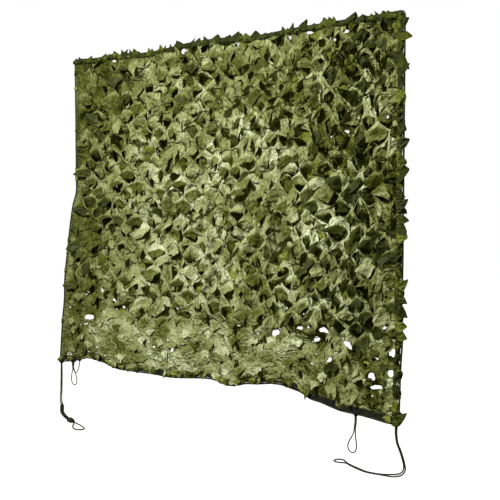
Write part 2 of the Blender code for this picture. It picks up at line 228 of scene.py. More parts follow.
# each route starts and ends at the border rope; a point without a height lies on the ground
cordRoutes = {
    "corner_tie_left": (
        (-0.990, -0.110, -1.4953), (-0.991, -0.110, -1.525), (-0.993, -0.112, -1.560),
        (-0.990, -0.115, -1.600), (-0.986, -0.120, -1.635), (-0.978, -0.130, -1.664),
        (-0.955, -0.146, -1.680), (-0.915, -0.170), (-0.870, -0.197), (-0.810, -0.240), (-0.750, -0.281),
        (-0.690, -0.313), (-0.630, -0.337), (-0.575, -0.353), (-0.540, -0.361), (-0.512, -0.378),
        (-0.480, -0.404), (-0.448, -0.421), (-0.420, -0.424), (-0.404, -0.408), (-0.414, -0.389),
        (-0.448, -0.375), (-0.490, -0.362), (-0.532, -0.351), (-0.570, -0.342), (-0.622, -0.325),
        (-0.680, -0.299), (-0.742, -0.268), (-0.803, -0.227), (-0.865, -0.183), (-0.908, -0.155),
        (-0.944, -0.133, -1.680), (-0.966, -0.119, -1.664), (-0.975, -0.112, -1.635),
        (-0.980, -0.108, -1.600), (-0.980, -0.107, -1.560), (-0.981, -0.108, -1.525),
        (-0.981, -0.109, -1.4939),
    ),
    "corner_tie_right": (
        (0.980, -0.014, -1.4958), (0.981, -0.015, -1.528), (0.986, -0.014, -1.560), (0.994, -0.010, -1.585),
        (1.001, -0.004, -1.614), (1.003, 0.003, -1.640), (0.998, 0.011, -1.662), (0.986, 0.013, -1.678),
        (0.977, -0.001), (0.966, -0.014), (0.948, -0.028), (0.915, -0.042), (0.876, -0.048),
        (0.835, -0.038), (0.785, -0.022), (0.745, -0.004), (0.724, 0.011), (0.706, 0.016), (0.692, 0.006),
        (0.691, -0.012), (0.704, -0.025), (0.724, -0.025), (0.749, -0.014), (0.788, -0.030),
        (0.838, -0.047), (0.880, -0.057), (0.922, -0.053), (0.960, -0.044), (0.986, -0.034),
        (0.999, -0.014), (1.006, 0.002, -1.678), (1.014, 0.008, -1.662), (1.017, 0.001, -1.640),
        (1.014, -0.006, -1.614), (1.006, -0.012, -1.585), (0.996, -0.016, -1.560), (0.990, -0.016, -1.528),
        (0.990, -0.014, -1.4955),
    ),
    "hem_loop_left": (
        (-0.899, -0.107, -1.4814), (-0.898, -0.106, -1.500), (-0.900, -0.103, -1.520),
        (-0.906, -0.103, -1.537), (-0.911, -0.103, -1.557), (-0.911, -0.103, -1.576),
        (-0.903, -0.103, -1.590), (-0.888, -0.103, -1.596), (-0.873, -0.103, -1.589),
        (-0.867, -0.103, -1.573), (-0.871, -0.103, -1.553), (-0.880, -0.103, -1.535),
        (-0.889, -0.103, -1.519), (-0.891, -0.106, -1.500), (-0.892, -0.107, -1.4804),
    ),
    "hem_slack_left": (
        (-0.882, -0.1065, -1.4788), (-0.883, -0.109, -1.497), (-0.882, -0.112, -1.513),
        (-0.873, -0.113, -1.525), (-0.860, -0.113, -1.529), (-0.848, -0.112, -1.521),
        (-0.841, -0.107, -1.495), (-0.841, -0.104, -1.4696),
    ),
    "hem_loop_right": (
        (0.806, -0.030, -1.4838), (0.806, -0.030, -1.507), (0.803, -0.030, -1.530), (0.800, -0.030, -1.550),
        (0.790, -0.030, -1.570), (0.777, -0.030, -1.590), (0.772, -0.030, -1.608), (0.778, -0.030, -1.623),
        (0.793, -0.030, -1.630), (0.808, -0.030, -1.622), (0.814, -0.030, -1.604), (0.812, -0.030, -1.584),
        (0.809, -0.030, -1.565), (0.808, -0.030, -1.548), (0.809, -0.030, -1.530), (0.812, -0.030, -1.507),
        (0.812, -0.030, -1.4842),
    ),
}


def smoothRoute(route, spacing, closed=False):
    # evenly spaced points on the smooth curve through the route's own points
    places = np.array(route, float)
    if closed:
        places = np.concatenate([places[-1:], places, places[:2]])
    else:
        places = np.concatenate([2 * places[:1] - places[1:2], places, 2 * places[-1:] - places[-2:-1]])
    share = np.linspace(0, 1, 24, endpoint=False)[:, None]
    fine = []
    for before, start, end, after in zip(places, places[1:], places[2:], places[3:]):
        squared = 2 * before - 5 * start + 4 * end - after
        cubed = 3 * start - before - 3 * end + after
        fine.append(0.5 * (2 * start + (end - before) * share + squared * share**2 + cubed * share**3))
    fine = np.concatenate([*fine, places[-2:-1]])
    run = np.concatenate([[0], np.cumsum(np.linalg.norm(np.diff(fine, axis=0), axis=1))])
    count = max(8, int(round(run[-1] / spacing)))
    even = np.linspace(0, run[-1], count + 1)
    return np.stack([np.interp(even, run, fine[:, axis]) for axis in range(3)], axis=1), run[-1]


def routeFrames(points, closed):
    # two directions square to the route, carried along it without twisting
    ahead = np.gradient(points, axis=0)
    if closed:
        ahead[0] = ahead[-1] = points[1] - points[-2]
    ahead /= np.linalg.norm(ahead, axis=1, keepdims=True)
    side = np.cross(ahead[0], (0.31, 0.89, 0.33))
    sides = []
    for direction in ahead:
        side = side - direction * side.dot(direction)
        side = side / np.linalg.norm(side)
        sides.append(side)
    sides = np.array(sides)
    over = np.cross(ahead, sides)
    if closed:
        slip = math.atan2(sides[-1].dot(over[0]), sides[-1].dot(sides[0]))
        back = -slip * np.linspace(0, 1, len(points))[:, None]
        sides, over = sides * np.cos(back) + over * np.sin(back), over * np.cos(back) - sides * np.sin(back)
    return sides, over


def rollTube(bm, points, radius, sides, shape, closed=False):
    # a flat strip rolled round the route and sewn along its seam; shape gives the strands' relief
    across, along = routeFrames(points, closed)
    rows = len(points) - 1
    made, flat = flatGrid(bm, sides, rows)
    step = np.linalg.norm(np.diff(points, axis=0), axis=1).mean()
    setUv(bm, "UVMap", {face for vert in made for face in vert.link_faces},
          lambda vert: ((vert.co.x + 0.5) * radius * 2 * math.pi, (vert.co.y + 0.5) * rows * step))
    turn = (flat[:, 0] + 0.5) * 2 * math.pi
    row = np.round((flat[:, 1] + 0.5) * rows).astype(int)
    reach = radius * shape(turn, row * step)
    moveVerts(made, points[row] + across[row] * (reach * np.cos(turn))[:, None]
              + along[row] * (reach * np.sin(turn))[:, None])
    bmesh.ops.remove_doubles(bm, verts=made, dist=1e-6)
    rims = [edge for edge in bm.edges if edge.is_boundary]
    if rims:
        bmesh.ops.holes_fill(bm, edges=rims, sides=sides)
    bmesh.ops.recalc_face_normals(bm, faces=bm.faces)


def plaited(depth, pitch, plaits):
    def relief(turn, run):
        wind = 2 * math.pi * run / pitch
        left, right = np.cos(plaits / 2 * (turn - wind)), np.cos(plaits / 2 * (turn + wind))
        return 1.0 - depth / 2 + depth / 2 * left * right
    return relief


def twistedStrands(depth, pitch, strands):
    def relief(turn, run):
        return 1.0 - depth + depth * np.abs(np.cos(strands / 2 * (turn - 2 * math.pi * run / pitch)))
    return relief


def cordYarn(name, dark, light, relief):
    # polypropylene yarn, plaited or laid: dark, slightly waxy, with a fine fibre grain and dusty crowns
    material, tree = newMaterial(name)
    # the fibre grain is 1.1 mm, coarser than real fibres so that it shows, and the dust lies in 45 mm spots
    fibre = addNode(tree, "TexNoise", {
        "Vector": addNode(tree, "TexCoord", {}, "UV"), "Scale": 900.0, "Detail": 2.0, "Roughness": 0.6})
    dust = addNode(tree, "TexNoise", {
        "Vector": addNode(tree, "TexCoord", {}, "Object"), "Scale": 22.0, "Detail": 2.0})
    grey = addNode(tree, "Math", {0: fibre, 1: 0.4}, operation="MULTIPLY")
    blend = addNode(tree, "Math", {0: dust, 1: 0.6, 2: grey}, operation="MULTIPLY_ADD")
    colour = addNode(tree, "ValToRGB", {"Fac": blend}, stops=((0.35, dark), (0.68, light)))
    grain = addNode(tree, "Bump", {"Strength": 0.5, "Distance": relief, "Height": fibre})
    yarn = addNode(tree, "BsdfPrincipled", {
        "Roughness": 0.6, "Specular IOR Level": 0.22, "Base Color": colour, "Normal": grain})
    addNode(tree, "OutputMaterial", {"Surface": yarn})
    return material


def drawTogether(points, size):
    # the two legs of a doubled cord lie against each other where they run side by side
    gaps = np.linalg.norm(points[:, None] - points[None], axis=2)
    order = np.arange(len(points))
    gaps[np.abs(order[:, None] - order[None]) < 0.10 / cordSizes["rowLength"]] = 1.0
    nearest = gaps.argmin(axis=1)
    gap = gaps[order, nearest]
    pull = np.clip((gap - 1.05 * size) / 2, 0, 0.005) * smoothStep((0.021 - gap) / 0.005)
    move = (points[nearest] - points) / gap[:, None] * pull[:, None]
    wide = np.ones(41) / 41
    move = np.pad(move, ((20, 20), (0, 0)), mode="edge")
    return points + np.stack([np.convolve(move[:, axis], wide, "valid") for axis in range(3)], axis=1)


def hitchRoute(anchor, radius, width, turns):
    # turns of cord round the border rope at the anchor, which lies on the rope's own line
    angle = np.linspace(-0.5 * math.pi, -0.5 * math.pi + 2 * math.pi * turns, int(14 * turns))
    along = np.linspace(-width / 2, width / 2, len(angle))
    x, y, z = anchor
    return [(x + a, y + radius * math.cos(t), z + radius * math.sin(t)) for t, a in zip(angle, along)]


tieYarn = cordYarn("tie_cord_yarn", *cordSizes["colours"], 0.0004)
loopYarn = cordYarn("loop_cord_yarn", *cordSizes["colours"], 0.0003)


def layCords():
    for name, places in cordRoutes.items():
        route = [(*place, cordSizes["ground"])[:3] for place in places]
        isTie = "tie" in name
        size = cordSizes["tie"] if isTie else cordSizes["loop"]
        yarn = tieYarn if isTie else loopYarn
        plait = plaited(cordSizes["plaitDepth"], cordSizes["plaitPitch"], cordSizes["plaits"])
        points, length = smoothRoute(route, cordSizes["rowLength"])
        if isTie:
            points = drawTogether(points, size)
        points[:, 2] = np.maximum(points[:, 2], view["floor"] + size / 2)
        bm = bmesh.new()
        rollTube(bm, points, size / 2, cordSizes["sides"], plait)
        cord = newPiece(name + "_cord", bm, yarn)
        # the hitch: the doubled cord's turns round the border rope
        ends = (np.array(route[0]) + np.array(route[-1])) / 2
        bm = bmesh.new()
        isSlack = name == "hem_slack_left"
        for end in (route[0], route[-1]) if isSlack else (ends,):
            anchor = np.array(end) + (0.0, 0.0, hitch["above"])
            turns = hitch["slackTurns"] if isSlack else hitch["turns"]
            wound = hitchRoute(anchor, hitch["radius"] + size / 2, size * turns * hitch["spread"], turns)
            wound, _ = smoothRoute(wound, hitch["rowLength"])
            rollTube(bm, wound, size / 2, 10, plait)
        knots = [newPiece(name + "_hitch", bm, yarn)]
        if name == "corner_tie_left":
            knots.append(eyeKnot(yarn, plait))
        for piece in (cord, *knots):
            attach(piece, "root")
        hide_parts(name)
        print(name, round(length, 3), "m")


windings = (
    # down the doubled cord's middle, turns, half width, height:
    # the end wound back over both legs, then the knot
    (((-0.868, -0.190), (-0.806, -0.2335), (-0.746, -0.2745), (-0.685, -0.306), (-0.626, -0.331),
      (-0.590, -0.343)), 9, 0.0075, 0.007),
    (((-0.592, -0.3425), (-0.545, -0.3565)), 4.5, 0.0125, 0.012),
)


def eyeKnot(yarn, plait):
    bm = bmesh.new()
    for spots, turns, wide, high in windings:
        middle, _ = smoothRoute([(x, y, view["floor"] + 0.003) for x, y in spots], 0.0012)
        angle = np.linspace(0, 2 * math.pi * turns, len(middle))[:, None]
        ahead = np.gradient(middle, axis=0)
        aside = np.cross(ahead / np.linalg.norm(ahead, axis=1, keepdims=True), (0, 0, 1))
        wound = middle + aside * wide * np.cos(angle)
        wound = wound + np.array((0, 0, 1)) * high * np.maximum(np.sin(angle), 0.0)
        wound, _ = smoothRoute(wound[::3], 0.0018)
        rollTube(bm, wound, cordSizes["tie"] / 2, 10, plait)
    return newPiece("eye_knot", bm, yarn)


layCords()

drape = {
    "width": 1.983,
    "drop": 1.487,
    "underRope": 0.0045,  # from the rope's middle to the cloth's edge
    "riseStart": 1.10,
    "sagEnd": 0.40,
    "step": 0.01,
    "halfThick": 0.00125,
    "lastRay": 0.986,  # rays further aside would miss the cloth
    "rayMargin": 0.005,
}
halfWidth, netDrop = drape["width"] / 2, drape["drop"]


def readEdges():
    # the cloth's top and foot edges, height by place, from the frame's cloth
    points = np.array([vert.co for vert in clothNode.data.vertices])
    columns = np.linspace(-halfWidth, halfWidth, 41)
    top, foot = [], []
    for column in columns:
        near = points[np.abs(points[:, 0] - column) < 0.012][:, 2]
        top.append(near.max())
        foot.append(near.min())
    top[0], top[-1] = top[1], top[-2]
    return columns, np.array(top), np.array(foot)


def readDrape():
    # rays along Y find the cloth's face; the parted gaps are filled from round them
    mesh = clothNode.data
    tree = BVHTree.FromPolygons([v.co for v in mesh.vertices], [p.vertices for p in mesh.polygons])
    columns, topEdge, footEdge = readEdges()
    across = np.arange(-0.99, 0.9901, drape["step"])
    down = np.arange(0.0, netDrop + 0.0001, netDrop / 150)
    sag = -drape["underRope"] - np.interp(across, columns, topEdge)
    rise = np.interp(across, columns, footEdge) + netDrop + drape["underRope"]
    lift = smoothStep((down - drape["riseStart"]) / (netDrop - drape["riseStart"]))
    drop = 1.0 - smoothStep(down / drape["sagEnd"])
    height = -drape["underRope"] - down[:, None] + lift[:, None] * rise - drop[:, None] * sag
    depth = np.full(height.shape, np.nan)
    for row in range(len(down)):
        for column, x in enumerate(across):
            inside = min(max(x, -drape["lastRay"]), drape["lastRay"])
            lowest, highest = height[-1, column] + drape["rayMargin"], height[0, column] - drape["rayMargin"]
            z = min(max(height[row, column], lowest), highest)
            hit = tree.ray_cast(Vector((inside, -1.0, z)), Vector((0.0, 1.0, 0.0)))[0]
            if hit:
                depth[row, column] = hit.y + drape["halfThick"]
    while np.isnan(depth).any():
        depth = fillFromRound(depth)
    for _ in range(3):
        depth = smoothGrid(depth)
    x = np.broadcast_to(across, depth.shape)
    return across, down, np.stack([x, depth, height], axis=-1)


def fillFromRound(grid):
    padded = np.pad(grid, 1, constant_values=np.nan)
    round4 = np.stack([padded[:-2, 1:-1], padded[2:, 1:-1], padded[1:-1, :-2], padded[1:-1, 2:]])
    known = ~np.isnan(round4)
    filled = np.where(known, round4, 0.0).sum(axis=0) / np.where(known.any(axis=0), known.sum(axis=0), np.nan)
    return np.where(np.isnan(grid), filled, grid)


def smoothGrid(grid):
    padded = np.pad(grid, 1, mode="edge")
    middle = padded[1:-1, 1:-1]
    cross = padded[:-2, 1:-1] + padded[2:, 1:-1] + padded[1:-1, :-2] + padded[1:-1, 2:]
    return 0.5 * middle + 0.125 * cross


hangAcross, hangDown, hangPoints = readDrape()


def makeFrames(points):
    # at each place: the direction across, down, and out of the front
    alongX = np.gradient(points, axis=1)
    alongZ = np.gradient(points, axis=0)
    alongX /= np.linalg.norm(alongX, axis=-1, keepdims=True)
    alongZ /= np.linalg.norm(alongZ, axis=-1, keepdims=True)
    front = np.cross(alongX, alongZ)
    front /= np.linalg.norm(front, axis=-1, keepdims=True)
    front *= np.where(front[..., 1:2] > 0, -1.0, 1.0)
    return alongX, alongZ, front


hangSide, hangFall, hangFront = makeFrames(hangPoints)


def onHang(grid, across, down):
    # reads a grid between its points
    column = np.clip((across - hangAcross[0]) / (hangAcross[1] - hangAcross[0]), 0, len(hangAcross) - 1.001)
    row = np.clip(down / (hangDown[1] - hangDown[0]), 0, len(hangDown) - 1.001)
    left = np.floor(column).astype(int)
    top = np.floor(row).astype(int)
    a = (column - left)[..., None]
    b = (row - top)[..., None]
    upper = grid[top, left] * (1 - a) + grid[top, left + 1] * a
    lower = grid[top + 1, left] * (1 - a) + grid[top + 1, left + 1] * a
    return upper * (1 - b) + lower * b


print("drape read")

cut = {
    "leavesAcross": 19,
    "leavesDown": 33,
    "facesAcross": 18,  # of one cell, a leaf and the cloth round it
    "facesDown": 8,
    "marginFaces": 3,  # uncut selvage at each side
    "selvage": 0.022,
    "wider": 0.18,  # cells are wider than the mean by this share at the left, and narrower at the right
    "rearmost": 0.045,
    "crease": 28.0,  # degrees: sharper folds show as creases
    "tongueColumns": (3, 15),
    "tongueRows": (2, 7),
    "rootWidth": 0.36,  # of a cell: a leaf's root, its shoulders and its tip
    "shoulderWidth": 0.50,
    "tipWidth": (0.06, 0.26),
    "shoulderAt": 0.36,
    "tipDrop": 0.5,  # how far a leaf's middle hangs past its corners, or its corners past its middle
    "slant": (0.10, 0.02),  # how far a leaf's tip stands aside from its root, row by row
    "skew": 0.09,  # and leaf by leaf
    "shoulderStep": 0.18,  # one shoulder higher than the other
}
layers = {
    "front_leaf_layer": {
        "seed": 11, "stagger": 0.0, "standOff": 0.014,
        "lean": 8.0, "leanSpread": 22.0, "curl": 8.0, "curlSpread": 38.0,  # degrees out of the cloth
        "overlap": 0.0,  # how much a leaf outgrows its hole
        "loose": 1.0, "up": 0.12, "follow": 0.35,  # how freely leaves move, turn up, follow the cloth
        "open": 1.0, "louvre": 0.004, "twist": 1.0, "part": 0.025,  # how the cloth between them opens
    },
    "rear_leaf_layer": {
        "seed": 47, "stagger": 0.5, "standOff": -0.009,
        "lean": 2.0, "leanSpread": 8.0, "curl": 0.0, "curlSpread": 14.0,
        "overlap": 0.34,
        "loose": 0.2, "up": 0.5, "follow": 1.0,
        "open": 0.22, "louvre": 0.002, "twist": 0.25, "part": 0.0,
    },
}


packing = {
    # the upright crease left by folding: its place at the top, how it drifts on the way down
    "across": -0.003, "drift": -0.01, "width": 0.012, "depth": 0.012,
}


opening = {
    # how far leaves stand open: fully above the level crease, less in the band under it
    "creaseAt": 1.17, "creaseWave": 0.03, "creaseWaveSize": 0.35, "creaseWidth": 0.06, "bandFlat": 0.72,
    # more again at the right end, and here and there
    "rightAt": 0.55, "rightWidth": 0.25, "rightLeast": 0.62, "rightMore": 0.05,
    "even": 0.95, "uneven": 0.2, "unevenSize": 0.22,
}
hem = {
    # how far in from its sewn edges the cloth lies flat
    "side": 0.05, "top": 0.04, "foot": 0.04,
    # where the binding is bare: from, to, how soon, and how much higher the leaves stop
    "bareFrom": 0.60, "bareTo": 0.95, "bareStart": 0.04, "bareEnd": 0.03, "bareRise": 0.022,
}
wander = {
    # how the cut sheet strays from even, slowly and quickly: how far, and over what distance
    "aside": (0.010, 0.26, 0.005, 0.08),
    "down": (0.012, 0.20, 0.006, 0.085),
    "wave": (0.015, 0.065),
    "pucker": (0.006, 0.03),
    "sway": (0.018, 0.10),  # of each neck between two leaves
    "turn": 0.06,
    "lift": 0.075,
}


def openness(across, down):
    wave = opening["creaseWave"] * softNoise(across, down * 0, opening["creaseWaveSize"], 5)
    below = down - (opening["creaseAt"] + wave)
    band = 1.0 - opening["bandFlat"] * smoothStep(below / opening["creaseWidth"])
    rightEnd = smoothStep((across - opening["rightAt"]) / opening["rightWidth"])
    spread = 1.0 + opening["rightMore"] * rightEnd
    uneven = opening["even"] + opening["uneven"] * softNoise(across, down, opening["unevenSize"], 6)
    return np.maximum(band, opening["rightLeast"] * rightEnd) * spread * uneven


def bareTape(across):
    # near the right the binding is bare, and the last leaves stop above it
    started = smoothStep((across - hem["bareFrom"]) / hem["bareStart"])
    return started * smoothStep((hem["bareTo"] - across) / hem["bareEnd"])


def edgeWindow(across, down):
    # 0 at the sewn edges, 1 further in
    side = smoothStep((halfWidth - np.abs(across)) / hem["side"])
    top = smoothStep(down / hem["top"])
    foot = smoothStep((netDrop - down - hem["bareRise"] * bareTape(across)) / hem["foot"])
    return side * top * foot


cutSpan = drape["width"] - 2 * cut["selvage"]


def cellSize():
    return cutSpan / cut["leavesAcross"], netDrop / cut["leavesDown"]


def fromCells(cells):
    # cells from the left selvage to metres from the sheet's middle
    share = np.clip(cells / cut["leavesAcross"], 0, 1)
    share = share + cut["wider"] * share * (1 - share)
    return cut["selvage"] + cutSpan * share - halfWidth


def toCells(across):
    share = (across + halfWidth - cut["selvage"]) / cutSpan
    more = 1 + cut["wider"]
    share = (more - np.sqrt(more**2 - 4 * cut["wider"] * np.clip(share, 0, 1))) / (2 * cut["wider"])
    return share * cut["leavesAcross"]


def tongueSpan():
    # where a leaf starts and ends, as shares of its row
    return [line / cut["facesDown"] for line in cut["tongueRows"]]


def ribMove(layer, across, down):
    # how the cut sheet itself moves: aside, down and out of the front
    seed = layer["seed"]
    width, height = cellSize()
    window = edgeWindow(across, down)
    gap = openness(across, down) * window * layer["open"]

    def noise(size, number, crisp=False):
        return softNoise(across, down, size, seed + number, crisp)

    row = np.floor(down / height + 1e-6)
    t = down / height - row
    # louvre: the sheet goes forward under each beam's lower edge and back above its upper one
    first, last = tongueSpan()
    fore = np.interp(t, (0.0, first, last, 1.0), (0.4, 1.0, -1.0, 0.4))
    lift = 0.55 + 1.1 * noise(wander["lift"], 1)
    out = layer["louvre"] * fore * lift * gap
    # each neck between two leaves turns about its own upright line, and takes the beam with it
    aside = across * 0.0
    downMove = across * 0.0
    for parity in (0, 1):
        shift = ((parity + 2 * layer["stagger"]) % 2) / 2
        place = toCells(across) - shift
        middle = np.round(place)
        u = (place - middle) * width
        other = (row - parity) % 2
        rim = 0.5 + 0.5 * np.where(t < 0.5, smoothStep(t / 0.25), smoothStep((1 - t) / 0.25))
        weight = np.where(other == 0, rim, 1.0 - rim)
        centre = (middle + shift) * width
        turn = layer["twist"] * softNoise(centre * 1.7, down, wander["turn"], seed + 2 + parity, crisp=True)
        fadeOut = 1.0 - (2 * u / width) ** 2
        angle = np.arctan(2.2 * turn) * gap
        out = out + weight * np.sin(angle) * u * fadeOut * 1.4
        aside = aside - weight * (1 - np.cos(angle)) * u * fadeOut
        sway, swaySize = wander["sway"]
        sway = sway * softNoise(centre * 1.3, down, swaySize, seed + 30 + parity) * gap
        aside = aside + weight * sway * fadeOut
        cross = 1.0 - 4.0 * np.sqrt((place - middle) ** 2 + 0.0004)
        opened = np.where(other == 0, 1.0, -1.0) * np.cos(np.pi * t)
        downMove = downMove + layer["part"] * gap * opened * cross * np.where(other == 0, 1.0, 0.0)
    # the cloth is never even: slow wander, quick wander, and sharper puckers
    slow, slowSize, quick, quickSize = wander["aside"]
    aside = aside + window * (slow * noise(slowSize, 5) + quick * noise(quickSize, 6))
    slow, slowSize, quick, quickSize = wander["down"]
    downMove = downMove + window * (slow * noise(slowSize, 7) + quick * noise(quickSize, 8))
    deep, size = wander["pucker"]
    pucker = deep * (np.abs(noise(size, 9, crisp=True)) - 0.4)
    deep, size = wander["wave"]
    wave = deep * noise(size, 10, crisp=True) + pucker
    packed = np.exp(-((across - packing["across"] - packing["drift"] * down) / packing["width"]) ** 2)
    out = out + window * ((0.7 + 0.3 * gap) * wave - packing["depth"] * packed + layer["standOff"])
    return aside, downMove, out


def placeRibs(layer, across, down):
    aside, downMove, out = ribMove(layer, across, down)
    base = onHang(hangPoints, across + aside, np.clip(down + downMove, 0, netDrop))
    front = onHang(hangFront, across, down)
    return base + front * out[..., None]


leafWays = {
    # leaves lie calmer near the sides: how near, over what distance, and how calm at the least
    "calmLeft": 0.06, "calmLeftWidth": 0.16, "calmRight": 0.03, "calmRightWidth": 0.12, "calmLeast": 0.2,
    # and wilder towards the right
    "wildAt": 0.3, "wildWidth": 0.4, "wild": 0.35,
    "moveRange": (0.04, 1.25),
    # in the flat band they are larger than their holes and stand off a little
    "flatOverlap": 0.24, "flatLean": 0.12,
    "bareShorter": 0.35,  # the last row, above the bare binding
}


def leafTables(layer):
    # each leaf's own lean, curl, twist and so on, by row and cell
    dice = np.random.RandomState(layer["seed"])
    shape = (cut["leavesDown"] + 1, cut["leavesAcross"] + 3)

    def spread(amount, middle=0.0):
        return middle + amount * dice.standard_normal(shape)

    return {
        "lean": np.radians(spread(layer["leanSpread"], layer["lean"])),
        "curl": np.radians(spread(layer["curlSpread"], layer["curl"])),
        "twist": np.radians(spread(26.0)),
        "swing": spread(0.25),
        "long": spread(0.25, 1.55),
        "wide": spread(0.16, 1.0),
        "fold": spread(0.6),
        "foldAt": dice.uniform(0.2, 0.65, shape),
        "drop": cut["tipDrop"] * dice.uniform(-1, 1, shape),
        "skew": cut["skew"] * dice.uniform(-1, 1, shape),
        "step": cut["shoulderStep"] * dice.choice((-1.0, 1.0), shape),
        "up": dice.uniform(0, 1, shape) < layer["up"],
        "tone": dice.uniform(-1, 1, shape),
    }


def placeLeaves(layer, tables, leaf, across, down):
    # leaf: row, cell and middle line of each point's leaf
    row, cell, middle = leaf
    height = cellSize()[1]
    pick = {name: table[row, cell] for name, table in tables.items()}
    first, last = tongueSpan()
    rootT = np.where(pick["up"], last, first)
    rootDown = (row + rootT) * height
    # an upturned leaf is rooted on its point's corners, so it leaves from the same line
    reach = np.abs(down - rootDown)
    ways = leafWays
    fromSide = np.minimum(smoothStep((halfWidth - middle - ways["calmRight"]) / ways["calmRightWidth"]),
                          smoothStep((halfWidth + middle - ways["calmLeft"]) / ways["calmLeftWidth"]))
    wild = 1.0 + ways["wild"] * smoothStep((middle - ways["wildAt"]) / ways["wildWidth"])
    calm = ways["calmLeast"] + (1.0 - ways["calmLeast"]) * fromSide
    gap = np.clip(openness(middle, rootDown) * layer["loose"] * wild * calm, *ways["moveRange"])
    length = (last - first) * height
    q = np.clip(reach / length, 0, 1.3)
    s = across - middle
    flatness = 1.0 - np.clip(openness(middle, rootDown), 0.0, 1.0)
    overlap = layer["overlap"] + ways["flatOverlap"] * flatness * layer["loose"]
    facet = np.maximum(gap, 0.5 * layer["loose"])
    lean = pick["lean"] * gap + ways["flatLean"] * flatness * layer["loose"]
    bend = lean + pick["curl"] * gap
    lastRow = np.where(row == cut["leavesDown"] - 1, bareTape(middle), 0.0)
    shorter = 1.0 - ways["bareShorter"] * lastRow
    stretch = length * (1.0 + (pick["long"] - 1.0) * gap + 0.4 * overlap) * shorter
    before = np.minimum(q, pick["foldAt"])
    beyond = q - before
    fall = stretch * (before * np.cos(lean) + beyond * np.cos(bend))
    out = stretch * (before * np.sin(lean) + beyond * np.sin(bend))
    twist = pick["twist"] * np.minimum(q * 1.4, 1.0) * facet
    side = s * (1.0 + (pick["wide"] - 0.95) * np.minimum(q * 2, 1.0) + overlap * np.minimum(q * 6, 1.0))
    aside = side * np.cos(twist) - s + pick["swing"] * length * q**2 * gap
    out = out + side * np.sin(twist) + pick["fold"] * np.abs(side) * np.minimum(q * 2, 1.0) * facet
    rise = np.where(pick["up"], -fall, fall)
    # a leaf hangs from its root, and keeps something of the wander of the cloth that it was cut from
    share = layer["follow"]
    root = placeRibs(layer, across, rootDown) * (1 - share) + placeRibs(layer, across, down) * share
    rise = rise - share * (down - rootDown)
    sideWay = onHang(hangSide, across, down)
    fallWay = onHang(hangFall, across, down)
    frontWay = onHang(hangFront, across, down)
    return root + sideWay * aside[:, None] + fallWay * rise[:, None] + frontWay * out[:, None]


def cutSheet(layer, tables):
    # a flat grid with a leaf cut free on three sides in each cell
    n = cut["facesAcross"]
    deep = cut["facesDown"]
    columns = cut["leavesAcross"] * n + 2 * cut["marginFaces"]
    rows = cut["leavesDown"] * deep
    bm = bmesh.new()
    bmesh.ops.create_grid(bm, x_segments=columns, y_segments=rows, size=0.5)
    tongueOf = bm.faces.layers.int.new("tongue")
    left, right = cut["tongueColumns"]
    first, last = cut["tongueRows"]
    for face in bm.faces:
        middle = face.calc_center_median()
        column = int((middle.x + 0.5) * columns) - cut["marginFaces"]
        line = int((0.5 - middle.y) * rows)
        row = line // deep
        shift = ((row + int(2 * layer["stagger"])) % 2) * n // 2
        cell = (column - shift) // n
        inColumn = (column - shift) % n
        whole = 0 <= column - shift - inColumn and column - shift - inColumn + n <= cut["leavesAcross"] * n
        if whole and left <= inColumn < right and first <= line % deep < last:
            face[tongueOf] = 1 + row * 100 + cell + 1
    lips = []
    for edge in bm.edges:
        if len(edge.link_faces) != 2:
            continue
        a, b = edge.link_faces
        if a[tongueOf] == b[tongueOf]:
            continue
        tongue, rib = (a, b) if a[tongueOf] else (b, a)
        code = tongue[tongueOf] - 1
        up = tables["up"][code // 100, code % 100]
        level = abs(edge.verts[0].co.y - edge.verts[1].co.y) < 1e-6
        below = level and rib.calc_center_median().y < tongue.calc_center_median().y
        above = level and not below
        if (below and up) or (above and not up):
            continue
        lips.append(edge)
    bmesh.ops.split_edges(bm, edges=lips)
    return bm, tongueOf, columns, rows


